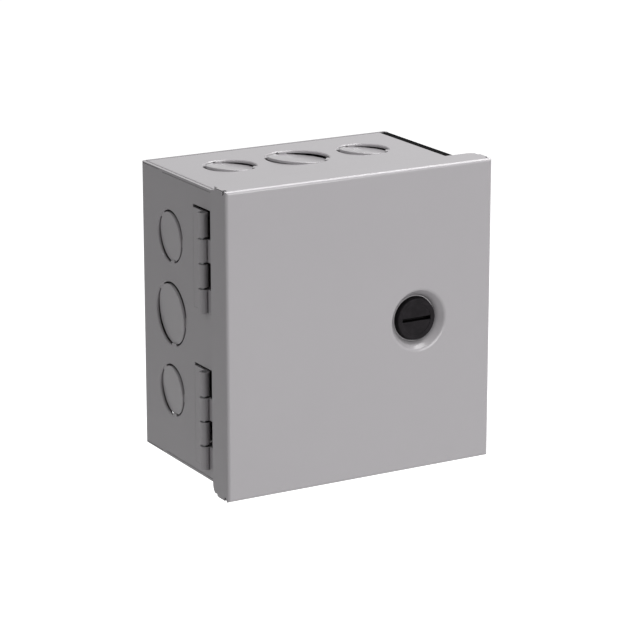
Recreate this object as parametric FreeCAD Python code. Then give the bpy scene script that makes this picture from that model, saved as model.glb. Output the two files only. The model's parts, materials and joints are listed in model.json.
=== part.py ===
"""Small surface-mounted load center: a 6 x 6 x 4 inch sheet steel enclosure with a hinged pan door,
a slotted quarter-turn latch, knockouts, and a two-pole-space plug-on breaker interior.

Frame: +Z up, +X to the right of someone facing the door, the door faces -Y.
The origin is the centre of the wall face (the rear face of the enclosure).
Depth is given as a distance d from the wall, so y = -d.  All lengths are millimetres.
"""
import FreeCAD, Part
import os
import math

V = FreeCAD.Vector

# ---------------------------------------------------------------- driving dimensions
BODY_W = 152.4
BODY_H = 158.0
BODY_D = 101.6
SHEET = 1.5                      # 16 gauge steel, walls and door
BEND = 1.8                       # outside bend radius of the folded sheet

DOOR_OVERHANG = 4.0              # door edge beyond the body, all round
DOOR_FLANGE = 17.0               # depth of the door's turned edge
DOOR_GAP = 0.9                   # body front edge to the door's inner face
FLANGE_CORNER_R = 6.0            # rounded free corners of the door's flanges
SEAM = 0.4                       # open seam where two door flanges meet
RELIEF_R = 1.6                   # corner relief hole of the folded door

LIP = 12.0                       # strike lip along the latch side of the opening
LIP_CORNER_R = 1.5               # outside bend between the right wall and the lip
TRAY_FLANGE = 12.0               # turned edge of the top and bottom plates
TRAY_BEND = 1.0                  # outside bend radius of the top and bottom plates
TRAY_GAP = 0.8                   # open seam between an end plate and the left wall
SEALANT_GAP = 3.0                # seam between the end plates and the right wall
SEALANT_CAP = 0.8                # the right wall stops this much short, under the bead
SEALANT_DEPTH = 4.0
SEALANT_DROP = 0.2               # the bead's surface lies this much below the plate
LAP_GROOVE = 0.3                 # depth of the rolled line below the left wall's edges
LAP_GROOVE_H = 0.3
LAP_EDGES = ((BEND, 21.0, 0.6), (25.0, 84.0, 1.3))    # line's rear, front and drop from the edge

KO_SMALL = 28.6                  # 3/4 inch trade knockout
KO_LARGE = 34.9                  # 1 inch trade knockout
KO_EDGE_R = 0.5                  # rolled-over edges of the slug and its hole
KO_TIE = 9.0                     # half angle of a tie, degrees
KO_TIE_RECESS = 0.25             # a tie is this much thinner than the sheet
KO_TIE_ROOT = 0.6                # how far a tie reaches into its slug
KO_SIDE_DEPTH = 33.0             # side knockout row, distance from the wall
KO_END_DEPTH = 35.0              # top and bottom knockout row, distance from the wall
KO_SIDE_Z = 1.5                  # height of the side row's middle knockout
KO_SIDE_PITCH = 42.5
KO_END_PITCH = 41.0
SIDE_STYLE = {"ties": (128.0, -3.0, -81.0), "axis": -48.0, "tilt": 6.0, "gap": 0.8, "press": 0.2}
END_STYLE = {"ties": (144.0, 91.0, -92.0, -38.0), "axis": 115.0, "tilt": 7.0, "gap": 1.2,
             "press": 0.45}

HINGE_X = -77.6                  # pin centre line
HINGE_D = 73.4
HINGE_LEN = 53.6
HINGE_TOPS = {"upper": 66.0, "lower": -19.7}
KNUCKLES = 4
KNUCKLE_GAP = 1.2
BARREL_R = 2.8
PIN_R = 1.45
PIN_CLEARANCE = 0.05
PIN_INSET = 0.3
LEAF = 1.4
NOTCH_REAR = 60.0                # rear edge of the hinge notch in the left wall
NOTCH_MARGIN = 1.7               # notch edge above the hinge's top
NOTCH_FOOT = 0.1                 # notch edge below the hinge's lower end
BODY_LEAF_LAP = 12.0             # weld lap of a body leaf behind the notch
DOOR_LEAF_GAP = 1.5              # door leaf's front edge to the door's inner face

CARD_X = (-58.0, 8.0)            # directory card inside the door
CARD_Z = (-55.0, 55.0)
CARD_T = 0.5
CARD_CORNER_R = 3.0

LATCH_X = 35.0
LATCH_Z = 0.0
DIMPLE_R = 16.6
DIMPLE_FLOOR_R = 12.6
DIMPLE_DEPTH = 5.0
DIMPLE_RIM_R = 2.0               # rolled rim of the dimple
LATCH_HEAD_R = 12.1              # at the dimple floor
LATCH_FACE_R = 11.3              # at the face, the head is tapered
LATCH_HEAD = 3.0
LATCH_BARREL_R = 9.5
LATCH_CORE_R = 8.7
LATCH_SHAFT_R = 5.5
LATCH_SLOT_W = 2.2
LATCH_SLOT_DEPTH = 4.0
LATCH_SEAT = 2.2                 # depth of the plug's seat behind the dimple floor
LATCH_RECESS = 0.2               # the plug's face lies this much below the housing's
LATCH_HEAD_EDGE_R = 0.6
LATCH_PLAY = 0.2                 # clearance of the barrel in the dimple's hole
PLUG_PLAY = 0.1                  # running clearance of the plug and its shaft
LATCH_BARREL = 8.0               # length of the threaded barrel behind the dimple floor
LATCH_NUT_R = 13.4               # across the nut's corners, half
LATCH_NUT_T = 3.0
LATCH_SHAFT = 8.5                # shaft's length behind the dimple floor
LATCH_SQUARE = 11.0              # end of the square drive, behind the dimple floor
CAM_SEAT = 8.6                   # cam's front face, behind the dimple floor
CAM_SQUARE = 3.5                 # half width of the square drive
CAM_REACH = 35.0
CAM_W = 16.0
CAM_T = 2.0
CAM_TAIL = 9.0                   # cam's short end beyond the shaft
CAM_CRANK = 13.0                 # where the crank starts, from the shaft
CAM_CORNER_R = 4.0
CAM_LIP_GAP = 0.7                # clearance behind the strike lip
CAM_SCREW_R = 1.95
CAM_SCREW_LEN = 6.0
CAM_SCREW_HEAD = 2.2
CAM_SCREW_HEAD_R = 5.2

WALL_HOLE_R = 3.4                # four holes for 1/4 inch wall screws
WALL_HOLE_X = 57.15
WALL_HOLE_Z = 63.5

BREAKER_W = 25.4
BREAKER_H = 76.0
BREAKER_PITCH = 25.8
BREAKER_X = {"left": 1.6, "right": 1.6 + BREAKER_PITCH}
BREAKER_REAR = 22.0
BREAKER_SHOULDER = 68.0          # front of the case beside the dead-front
BREAKER_NOSE = 75.0              # front of the raised nose
BREAKER_NOSE_HALF = 17.0
CASE_WALL = 1.8
HANDLE_PIVOT_D = 64.0
HANDLE_HUB_R = 6.5
HANDLE_TIP_R = 19.5
HANDLE_W = 7.0
HANDLE_REST = 25.0               # handle leans up (ON) by this angle at rest
HANDLE_PIN_R = 1.5
HANDLE_HALF_T = 2.8              # half thickness of the lever
HANDLE_WEB_R = 9.4
HANDLE_SLOT_Z = 11.0             # half height of the handle's slot
HANDLE_PLAY = 0.6                # handle's clearance in the slot, each side
JAW_SLOT = 7.0                   # width of the stab's opening in the case
BOSS_R = 3.0                     # rivet bosses inside the case
RIVET_R = 1.55
RIVET_SPOTS = ((32.0, -33.0), (61.5, 32.0), (32.0, 14.0))
CASE_CORNER_R = 0.8
CASE_BEVEL = 8.0                 # bevel at the load end of the case
TERMINAL_D = (41.0, 53.5)        # wire window at the load end
TERMINAL_SCREW_Z = -31.5
TERMINAL_SCREW_R = 2.45
TERMINAL_ACCESS_R = 4.2          # screwdriver hole over the terminal screw
STAB_Z = 28.0
STAB_HALF = 6.0
STAB_REACH = 14.0
STAB_T = 2.4
JAW_REAR = 3.5                   # jaw's rear end above the bus bar
JAW_LEG = 12.0
JAW_T = 1.0
JAW_BRIDGE = 1.4
JAW_HALF = 5.0
JAW_ARM_END = 19.0
CONTACT_Z = 21.0
CONTACT_R = 2.0
CONTACT_T = 1.2
ARM_PIVOT_D = 52.0
ARM_PIVOT_Z = -8.0
ARM_HALF_W = 2.0
ARM_HUB_R = 3.2
ARM_TIP_Z = 23.5
LOAD_D = (40.5, 55.5)            # box clamp at the load end
CLAMP_HALF = 6.0
CLAMP_GAP = 0.3
CLAMP_LENGTH = 9.0
BIMETAL_T = 1.2
BIMETAL_FOOT = 1.6               # thickness of its foot under the clamp
BIMETAL_TIP_Z = -6.0

PAN_X = (-22.0, 68.0)
PAN_Z = (-50.0, 57.5)
PAN_T = 1.2
PAN_D = 7.5                      # rear face of the interior pan, above the back wall
PAN_FOOT = 8.5
PAN_FOOT_END = 46.0              # the feet stop short of the wall screws on the right
SCREW_TAP_R = 1.9                # hole that a small screw cuts its thread in
SCREW_SHANK_R = 1.85
SCREW_CLEAR_R = 2.1              # hole that a small screw passes through
SCREW_HEAD_R = 3.8
SLOT_HALF = 0.5                  # half width of a screw slot
BASE_X = (-12.0, 41.0)
BASE_Z = (-44.0, 56.0)
BASE_FRONT = 18.0
BASE_CORNER_R = 1.5
BASE_WALL = 4.0                  # moulding's wall round its hollow back
BASE_HOLLOW = 5.0
BARRIER_Z = 41.0                 # barrier between the two main lugs starts here
BARRIER_D = 14.0
RAIL_T = 1.2
RAIL_Z = (-42.0, -28.0)
RAIL_WEB_Z = -32.0
BUS_T = 2.4
BUS_W = 12.0
LUG_HALF = 8.0
LUG_DEPTH = 17.0
LUG_FOOT_Z = 43.0
LUG_BORE_R = 4.6
LUG_BORE_D = 7.0                 # bore's centre above the bus bar
LUG_SCREW_R = 3.95
LUG_CORNER_R = 1.2

NEUTRAL_X = 55.0
NEUTRAL_D = (26.0, 35.0)
NEUTRAL_Z = (-38.0, 38.0)
GROUND_X = (-48.0, 16.0)
GROUND_Z = -62.9
GROUND_D = (8.0, 16.0)
BAR_W = 9.0
TERMINAL_PITCH = 11.0
TERMINAL_MARGIN = 10.0           # metal beyond the first and last terminals, both together
TERMINAL_BORE_D = 4.0            # wire bore's centre above the bar's rear face
NEUTRAL_BORE_R = 2.6
GROUND_BORE_R = 2.4
BAR_SCREW_R = 2.0
BAR_SCREW_STAND = 1.5            # open terminal screws stand this much proud
INSULATOR_T = 3.0
GROUND_FOOT_INSET = 5.0
STRAP_W = 7.0
STRAP_T = 1.2
STRAP_END = -49.6                # lower end of the bonding strap
STRAP_FOOT = 7.6
BOND_HEAD_R = 2.6
BOND_X = NEUTRAL_X
BOND_Z = -45.4

DEADFRONT_X = (-60.0, 70.0)
DEADFRONT_Z = (-68.0, 68.0)
DEADFRONT_D = 72.0
DEADFRONT_T = 1.2
DEADFRONT_EDGE = 8.0
DEADFRONT_BEND = 2.0
DEADFRONT_WINDOW_GAP = 0.8
POST_R = 3.2
POST_TAP = 12.0                  # depth of a post's tapped hole
POSTS = ((-16.0, 54.0), (62.0, 54.0), (-16.0, -45.0), (62.0, -45.0))

# ---------------------------------------------------------------- derived sizes
HALF_W = BODY_W / 2
HALF_H = BODY_H / 2
INNER_W = HALF_W - SHEET
DOOR_HALF_W = HALF_W + DOOR_OVERHANG
DOOR_HALF_H = HALF_H + DOOR_OVERHANG
DOOR_FRONT = BODY_D + DOOR_GAP + SHEET
DOOR_INNER = DOOR_FRONT - SHEET
DOOR_REAR = DOOR_FRONT - DOOR_FLANGE
LIP_BACK = BODY_D - SHEET
KNUCKLE_LEN = HINGE_LEN / KNUCKLES
DIMPLE_FLOOR = DOOR_FRONT - DIMPLE_DEPTH
LATCH_FACE = DIMPLE_FLOOR + LATCH_HEAD
PAN_FRONT = PAN_D + PAN_T
BUS_FRONT = BASE_FRONT + BUS_T
LUG_TOP = BASE_Z[1] - 1
LUG_SCREW_Z = (LUG_FOOT_Z + LUG_TOP) / 2
CASE_HALF = BREAKER_W / 2
CASE_HALF_H = BREAKER_H / 2
LOAD_END = -CASE_HALF_H + CASE_WALL
JAW_FRONT = BUS_FRONT + JAW_REAR + JAW_LEG + JAW_BRIDGE
CONTACT_D = JAW_FRONT + CONTACT_T
CAM_REAR = DIMPLE_FLOOR - CAM_SEAT - CAM_T
PAST = 1.0                       # how far a cutter reaches past the face it opens
NEAR = 0.05                      # tolerance for finding an edge by its place

nodes = {}


# ---------------------------------------------------------------- helpers
def box(x0, x1, d0, d1, z0, z1):
    """Block between two X values, two distances from the wall and two heights."""
    return Part.makeBox(x1 - x0, d1 - d0, z1 - z0, V(x0, -d1, z0))


def rod_x(x0, x1, d, z, radius):
    return Part.makeCylinder(radius, x1 - x0, V(x0, -d, z), V(1, 0, 0))


def rod_d(x, d0, d1, z, radius):
    """Cylinder that points out from the wall."""
    return Part.makeCylinder(radius, d1 - d0, V(x, -d0, z), V(0, -1, 0))


def rod_z(x, d, z0, z1, radius):
    return Part.makeCylinder(radius, z1 - z0, V(x, -d, z0), V(0, 0, 1))


def fuse(shapes):
    """Join shapes into one solid with no leftover seams."""
    first = shapes[0]
    rest = list(shapes[1:])
    return first.fuse(rest).removeSplitter() if rest else first


def cut(shape, tools):
    return shape.cut(list(tools))


def fillet(shape, radius, wanted):
    """Round the edges that wanted(edge) picks."""
    edges = [e for e in shape.Edges if wanted(e)]
    return shape.makeFillet(radius, edges)


def runs_along(edge, axis):
    """True for a straight edge parallel to the given axis letter."""
    if not isinstance(edge.Curve, (Part.Line, Part.LineSegment)):
        return False
    along = edge.tangentAt(edge.FirstParameter)
    return abs(abs(getattr(along, axis)) - 1) < 1e-6


def prism_z(points, z0, z1):
    """Extrude an outline of (x, d) points upward."""
    ring = [V(x, -d, z0) for x, d in points]
    wire = Part.makePolygon(ring + [ring[0]])
    return Part.Face(wire).extrude(V(0, 0, z1 - z0))


def prism_x(points, x0, x1):
    """Extrude an outline of (d, z) points along X."""
    ring = [V(x0, -d, z) for d, z in points]
    wire = Part.makePolygon(ring + [ring[0]])
    return Part.Face(wire).extrude(V(x1 - x0, 0, 0))


def mirrored_z(shape):
    return shape.mirror(V(0, 0, 0), V(0, 0, 1))


def screw(x, d_seat, z, shank_r, length, head_r, head):
    """Slotted pan-head screw whose head sits on d_seat and whose shank points at the wall."""
    head_part = rod_d(x, d_seat, d_seat + head, z, head_r)
    shank = rod_d(x, d_seat - length, d_seat, z, shank_r)
    slot = box(x - head_r, x + head_r, d_seat + head / 2, d_seat + head + PAST,
               z - SLOT_HALF, z + SLOT_HALF)
    return cut(fuse([head_part, shank]), [slot])


def place(name, shape):
    nodes[name] = shape


# ---------------------------------------------------------------- knockouts
def knockout(radius, style):
    """Cutter and slug of a knockout at the origin of a sheet whose outer face is z = 0.

    The sheet lies below z = 0.  The slug is twisted about an axis in the sheet, pressed in a
    little and hangs on its ties.  The style gives angles in degrees, the gap and the press.
    """
    slug_r = radius - style["gap"]
    cutter = Part.makeCylinder(radius, 3 * SHEET, V(0, 0, -2 * SHEET))
    flare = Part.makeCone(radius, radius + KO_EDGE_R, KO_EDGE_R, V(0, 0, -KO_EDGE_R))
    slug = Part.makeCylinder(slug_r, SHEET, V(0, 0, -SHEET))
    slug = fillet(slug, KO_EDGE_R, lambda e: isinstance(e.Curve, Part.Circle)
                  and e.Vertexes[0].Z > -SHEET / 2)
    axis = math.radians(style["axis"])
    slug.rotate(V(0, 0, -SHEET / 2), V(math.cos(axis), math.sin(axis), 0), style["tilt"])
    slug.translate(V(0, 0, -style["press"]))
    parts = [slug]
    for angle in style["ties"]:
        tie = Part.makeCylinder(radius + KO_EDGE_R, SHEET - KO_TIE_RECESS, V(0, 0, -SHEET),
                                V(0, 0, 1), 2 * KO_TIE)
        core = Part.makeCylinder(slug_r - KO_TIE_ROOT, 3 * SHEET, V(0, 0, -2 * SHEET))
        tie = tie.cut(core)
        tie.rotate(V(0, 0, 0), V(0, 0, 1), angle - KO_TIE)
        parts.append(tie)
    return cutter.fuse(flare), fuse(parts)


def cut_knockouts(sheet, spots, style, to_place):
    """Replace discs of the sheet by twisted slugs at each (u, v, diameter) spot."""
    cutters = []
    slugs = []
    for u, v, diameter in spots:
        cutter, slug = knockout(diameter / 2, style)
        for shape, group in ((cutter, cutters), (slug, slugs)):
            shape.Placement = to_place(u, v)
            group.append(shape)
    return fuse([cut(sheet, cutters)] + slugs)


def end_knockouts():
    return [(-KO_END_PITCH, KO_END_DEPTH, KO_SMALL), (0.0, KO_END_DEPTH, KO_LARGE),
            (KO_END_PITCH, KO_END_DEPTH, KO_SMALL)]


def side_knockouts():
    return [(KO_SIDE_DEPTH, KO_SIDE_Z + KO_SIDE_PITCH, KO_SMALL),
            (KO_SIDE_DEPTH, KO_SIDE_Z, KO_LARGE),
            (KO_SIDE_DEPTH, KO_SIDE_Z - KO_SIDE_PITCH, KO_SMALL)]


def on_top(x, d):
    """Sheet local frame laid on the top face: local x is +X, local y is toward the wall."""
    return FreeCAD.Placement(V(x, -d, HALF_H), FreeCAD.Rotation())


def on_left(d, z):
    """Sheet local frame on the left face: local x points to the door, local y is up."""
    turn = FreeCAD.Rotation(V(0, -1, 0), V(0, 0, 1), V(-1, 0, 0), "XYZ")
    return FreeCAD.Placement(V(-HALF_W, -d, z), turn)


def on_right(d, z):
    turn = FreeCAD.Rotation(V(0, 1, 0), V(0, 0, 1), V(1, 0, 0), "XYZ")
    return FreeCAD.Placement(V(HALF_W, -d, z), turn)


# ---------------------------------------------------------------- enclosure shell
def hinge_notches(x0, x1, d0, d1):
    """Cutters for the two hinge openings at the left side."""
    return [box(x0, x1, d0, d1, top - HINGE_LEN - NOTCH_FOOT, top + NOTCH_MARGIN)
            for top in HINGE_TOPS.values()]


def make_wrapper():
    """Back, left and right walls folded from one sheet, with the strike lip on the right."""
    outer = box(-HALF_W, HALF_W, 0, BODY_D, -HALF_H, HALF_H)
    outer = fillet(outer, BEND, lambda e: runs_along(e, "z") and e.CenterOfMass.y > -SHEET)
    inner = box(-INNER_W, INNER_W, SHEET, BODY_D + PAST, -HALF_H - PAST, HALF_H + PAST)
    inner = fillet(inner, BEND - SHEET, lambda e: runs_along(e, "z")
                   and e.CenterOfMass.y > -2 * SHEET)
    lip = box(INNER_W - LIP, HALF_W, LIP_BACK, BODY_D, -HALF_H, HALF_H)
    shell = fuse([outer.cut(inner), lip])
    shell = fillet(shell, LIP_CORNER_R, lambda e: runs_along(e, "z")
                   and e.CenterOfMass.x > HALF_W - NEAR and e.CenterOfMass.y < -BODY_D + NEAR)
    tools = hinge_notches(-HALF_W - PAST, -INNER_W + PAST, NOTCH_REAR, BODY_D + PAST)
    for rear, front, drop in LAP_EDGES:
        groove = box(-HALF_W - PAST, -HALF_W + LAP_GROOVE, rear, front,
                     HALF_H - drop - LAP_GROOVE_H, HALF_H - drop)
        tools += [groove, mirrored_z(groove)]
    step = box(INNER_W - PAST, HALF_W + PAST, 2 * SHEET, LIP_BACK, HALF_H - SEALANT_CAP,
               HALF_H + PAST)
    tools += [step, mirrored_z(step)]
    for x in (-WALL_HOLE_X, WALL_HOLE_X):
        for z in (-WALL_HOLE_Z, WALL_HOLE_Z):
            tools.append(rod_d(x, -PAST, SHEET + PAST, z, WALL_HOLE_R))
    for x, z in pan_screw_spots():
        tools.append(rod_d(x, -PAST, SHEET + PAST, z, SCREW_TAP_R))
    for x in ground_screw_spots():
        tools.append(rod_d(x, -PAST, SHEET + PAST, GROUND_Z, SCREW_TAP_R))
    shell = cut(shell, tools)
    shell = cut_knockouts(shell, side_knockouts(), SIDE_STYLE, on_left)
    return cut_knockouts(shell, side_knockouts(), SIDE_STYLE, on_right)


def make_end_plate(end):
    """Tray that closes the top (end = 1) or bottom (end = -1), lapped inside the walls."""
    left = -INNER_W + TRAY_GAP
    right = INNER_W - SEALANT_GAP
    outer = box(left, right, SHEET, LIP_BACK, HALF_H - TRAY_FLANGE, HALF_H)
    outer = fillet(outer, TRAY_BEND, lambda e: e.CenterOfMass.z > HALF_H - NEAR
                   or runs_along(e, "z"))
    inner = box(left + SHEET, right - SHEET, 2 * SHEET, LIP_BACK - SHEET,
                HALF_H - TRAY_FLANGE - PAST, HALF_H - SHEET)
    tray = cut_knockouts(outer.cut(inner), end_knockouts(), END_STYLE, on_top)
    if end < 0:
        tray = mirrored_z(tray)
    return cut(tray, hinge_notches(left - PAST, left + 2 * SHEET, NOTCH_REAR - BODY_LEAF_LAP - 2,
                                   LIP_BACK - 2 * SHEET))


def make_sealant():
    """Bead in the seam between an end plate and the right wall, spread over the wall's edge."""
    top = HALF_H - SEALANT_DROP
    seam = box(INNER_W - SEALANT_GAP, INNER_W, 2 * SHEET, LIP_BACK, HALF_H - SEALANT_DEPTH, top)
    cap = box(INNER_W - PAST, HALF_W - SEALANT_DROP, 2 * SHEET, LIP_BACK,
              HALF_H - SEALANT_CAP, top)
    return fuse([seam, cap])


# ---------------------------------------------------------------- door
def make_door():
    outer = box(-DOOR_HALF_W, DOOR_HALF_W, DOOR_REAR, DOOR_FRONT, -DOOR_HALF_H, DOOR_HALF_H)
    outer = fillet(outer, BEND, lambda e: e.CenterOfMass.y < -DOOR_FRONT + NEAR)
    inner_w = DOOR_HALF_W - SHEET
    inner_h = DOOR_HALF_H - SHEET
    inner = box(-inner_w, inner_w, DOOR_REAR - PAST, DOOR_INNER, -inner_h, inner_h)
    inner = fillet(inner, BEND - SHEET, lambda e: e.CenterOfMass.y < -DOOR_INNER + NEAR)
    pan = outer.cut(inner)
    boss = Part.makeCone(DIMPLE_R + SHEET, DIMPLE_FLOOR_R + SHEET, DIMPLE_DEPTH,
                         V(LATCH_X, -DOOR_INNER, LATCH_Z), V(0, 1, 0))
    recess = Part.makeCone(DIMPLE_R, DIMPLE_FLOOR_R, DIMPLE_DEPTH,
                           V(LATCH_X, -DOOR_FRONT, LATCH_Z), V(0, 1, 0))
    pan = fuse([pan, boss]).cut(recess)
    pan = fillet(pan, DIMPLE_RIM_R, lambda e: isinstance(e.Curve, Part.Circle)
                 and abs(e.Curve.Radius - DIMPLE_R) < NEAR
                 and abs(e.CenterOfMass.y + DOOR_FRONT) < NEAR)
    tools = [rod_d(LATCH_X, DIMPLE_FLOOR - 2 * SHEET, DIMPLE_FLOOR + PAST, LATCH_Z,
                   LATCH_BARREL_R + LATCH_PLAY)]
    for side in (-1, 1):
        for end in (-1, 1):
            tools += door_corner_tools(side, end)
    return cut(pan, tools)


def door_corner_tools(side, end):
    """Rounded free corners, open seam and relief hole at one corner of the folded door."""
    x_out = side * DOOR_HALF_W
    x_in = side * (DOOR_HALF_W - SHEET)
    z_out = end * DOOR_HALF_H
    z_in = end * (DOOR_HALF_H - SHEET)
    r = FLANGE_CORNER_R
    d0 = DOOR_REAR
    x_lo, x_hi = sorted((x_out + side, x_in))
    z_lo, z_hi = sorted((z_out + end, z_out - end * r))
    side_corner = box(x_lo, x_hi, d0 - PAST, d0 + r, z_lo, z_hi)
    side_corner = side_corner.cut(rod_x(x_lo - PAST, x_hi + PAST, d0 + r, z_out - end * r, r))
    z_lo, z_hi = sorted((z_out + end, z_in))
    x_lo, x_hi = sorted((x_out + side, x_out - side * r))
    end_corner = box(x_lo, x_hi, d0 - PAST, d0 + r, z_lo, z_hi)
    end_corner = end_corner.cut(rod_z(x_out - side * r, d0 + r, z_lo - PAST, z_hi + PAST, r))
    front = DOOR_FRONT - BEND - RELIEF_R
    reach = 3 * SHEET
    seam = box(-reach, reach, d0 - PAST, front, -SEAM / 2, SEAM / 2)
    seam.rotate(V(0, 0, 0), V(0, 1, 0), -math.degrees(math.atan2(end, side)))
    seam.translate(V(x_out, 0, z_out))
    relief = Part.makeCylinder(RELIEF_R, 2 * reach, V(x_out + side, -front, z_out + end),
                               V(-side, 0, -end))
    return [side_corner, end_corner, seam, relief]


def make_directory_card():
    """Circuit directory card on the inside of the door, left of the latch."""
    card = box(*CARD_X, DOOR_INNER - CARD_T, DOOR_INNER, *CARD_Z)
    return fillet(card, CARD_CORNER_R, lambda e: runs_along(e, "y"))


# ---------------------------------------------------------------- hinges
def knuckle_spans(top, which):
    """(z0, z1) of the knuckles, counted from the top, with running gaps between them."""
    spans = []
    for index in which:
        z1 = top - index * KNUCKLE_LEN - (KNUCKLE_GAP / 2 if index else 0)
        z0 = top - (index + 1) * KNUCKLE_LEN + (KNUCKLE_GAP / 2 if index < KNUCKLES - 1 else 0)
        spans.append((z0, z1))
    return spans


def rolled_leaf(top, outline, knuckle_outline, which):
    """Leaf plate, its knuckle arms and barrels, bored for the pin."""
    parts = [prism_z(outline, top - HINGE_LEN, top)]
    for z0, z1 in knuckle_spans(top, which):
        parts.append(prism_z(knuckle_outline, z0, z1))
        parts.append(rod_z(HINGE_X, HINGE_D, z0, z1, BARREL_R))
    bore = rod_z(HINGE_X, HINGE_D, top - HINGE_LEN - PAST, top + PAST, PIN_R + PIN_CLEARANCE)
    return fuse(parts).cut(bore)


def make_body_leaf(top):
    """Leaf welded inside the left wall; it steps outward through the notch to the barrel."""
    x_in = -INNER_W
    x_step = HINGE_X + BARREL_R - LEAF
    clear = HINGE_D - BARREL_R - 1.0
    step = NOTCH_REAR + 0.1
    rear = NOTCH_REAR - BODY_LEAF_LAP
    plate = [(x_in, rear), (x_in + LEAF, rear), (x_in + LEAF, step + LEAF),
             (x_step + LEAF, step + 1.6 * LEAF), (x_step + LEAF, clear), (x_step, clear),
             (x_step, step), (x_in, step)]
    arm = [(x_step, clear - LEAF), (x_step + LEAF, clear - LEAF),
           (x_step + LEAF, HINGE_D), (x_step, HINGE_D)]
    return rolled_leaf(top, plate, arm, (0, 2))


def make_door_leaf(top):
    """Leaf welded inside the door's left flange; its arms step inward to the barrel."""
    x_out = -DOOR_HALF_W + SHEET
    x_arm = HINGE_X + BARREL_R - LEAF
    front = DOOR_INNER - DOOR_LEAF_GAP
    step = DOOR_REAR - 2.5
    plate = [(x_out, DOOR_REAR), (x_out + LEAF, DOOR_REAR), (x_out + LEAF, front), (x_out, front)]
    arm = [(x_arm, HINGE_D), (x_arm + LEAF, HINGE_D), (x_arm + LEAF, step),
           (x_out + LEAF, DOOR_REAR + 2), (x_out, DOOR_REAR + 2), (x_out, DOOR_REAR + 0.6),
           (x_arm, step - 1)]
    return rolled_leaf(top, plate, arm, (1, 3))


def make_hinge_pin(top):
    """Pin, a little shorter than the barrels at both ends."""
    return rod_z(HINGE_X, HINGE_D, top - HINGE_LEN + PIN_INSET, top - PIN_INSET, PIN_R)


# ---------------------------------------------------------------- latch
def make_latch_housing():
    """Round bezel with a threaded barrel that passes through the dimple floor."""
    seat = DIMPLE_FLOOR - LATCH_SEAT
    barrel_end = DIMPLE_FLOOR - LATCH_BARREL
    head = Part.makeCone(LATCH_HEAD_R, LATCH_FACE_R, LATCH_HEAD,
                         V(LATCH_X, -DIMPLE_FLOOR, LATCH_Z), V(0, -1, 0))
    head = fillet(head, LATCH_HEAD_EDGE_R, lambda e: isinstance(e.Curve, Part.Circle)
                  and e.CenterOfMass.y < -LATCH_FACE + NEAR)
    barrel = rod_d(LATCH_X, barrel_end, DIMPLE_FLOOR + PAST, LATCH_Z, LATCH_BARREL_R)
    pocket = rod_d(LATCH_X, seat, LATCH_FACE + PAST, LATCH_Z, LATCH_CORE_R + PLUG_PLAY)
    bore = rod_d(LATCH_X, barrel_end - PAST, LATCH_FACE, LATCH_Z, LATCH_SHAFT_R + PLUG_PLAY)
    return cut(fuse([head, barrel]), [pocket, bore])


def make_latch_core():
    """Slotted plug with its shaft and square drive for the cam."""
    face = LATCH_FACE - LATCH_RECESS
    seat = DIMPLE_FLOOR - LATCH_SEAT + PLUG_PLAY
    disc = rod_d(LATCH_X, seat, face, LATCH_Z, LATCH_CORE_R)
    shaft_end = DIMPLE_FLOOR - LATCH_SHAFT
    shaft = rod_d(LATCH_X, shaft_end, seat + PLUG_PLAY, LATCH_Z, LATCH_SHAFT_R)
    square = box(LATCH_X - CAM_SQUARE, LATCH_X + CAM_SQUARE, DIMPLE_FLOOR - LATCH_SQUARE,
                 shaft_end + LATCH_RECESS, LATCH_Z - CAM_SQUARE, LATCH_Z + CAM_SQUARE)
    reach = LATCH_CORE_R + PAST
    slot = box(LATCH_X - reach, LATCH_X + reach, face - LATCH_SLOT_DEPTH, face + PAST,
               LATCH_Z - LATCH_SLOT_W / 2, LATCH_Z + LATCH_SLOT_W / 2)
    hole = rod_d(LATCH_X, DIMPLE_FLOOR - LATCH_SQUARE - PAST,
                 DIMPLE_FLOOR - LATCH_SQUARE + CAM_SCREW_LEN + PAST, LATCH_Z,
                 CAM_SCREW_R + PIN_CLEARANCE)
    return cut(fuse([disc, shaft, square]), [slot, hole])


def make_latch_nut():
    """Hexagonal nut that clamps the housing to the dimple floor."""
    corners = [math.radians(60 * k) for k in range(6)]
    ring = [V(LATCH_X + LATCH_NUT_R * math.cos(a), -DIMPLE_FLOOR + SHEET,
              LATCH_Z + LATCH_NUT_R * math.sin(a)) for a in corners]
    nut = Part.Face(Part.makePolygon(ring + [ring[0]])).extrude(V(0, LATCH_NUT_T, 0))
    return nut.cut(rod_d(LATCH_X, DIMPLE_FLOOR - LATCH_BARREL, DIMPLE_FLOOR, LATCH_Z,
                         LATCH_BARREL_R + PIN_CLEARANCE))


def make_latch_cam():
    """Cranked cam, pointing down while the door is free to open."""
    d0 = CAM_REAR
    d1 = d0 + CAM_T
    tip = LIP_BACK - CAM_LIP_GAP
    rise = tip - d1
    outline = [(d0, CAM_TAIL), (d1, CAM_TAIL), (d1, -CAM_CRANK), (tip, -CAM_CRANK - rise),
               (tip, -CAM_REACH), (tip - CAM_T, -CAM_REACH),
               (tip - CAM_T, -CAM_CRANK - rise - 0.8), (d0, -CAM_CRANK - 0.8)]
    cam = prism_x(outline, LATCH_X - CAM_W / 2, LATCH_X + CAM_W / 2)
    cam = cam.translated(V(0, 0, LATCH_Z))
    cam = fillet(cam, CAM_CORNER_R, lambda e: runs_along(e, "y")
                 and abs(e.CenterOfMass.z - LATCH_Z) > CAM_TAIL - NEAR)
    half = CAM_SQUARE + PIN_CLEARANCE
    hole = box(LATCH_X - half, LATCH_X + half, d0 - PAST, d1 + PAST,
               LATCH_Z - half, LATCH_Z + half)
    return cam.cut(hole)


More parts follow.
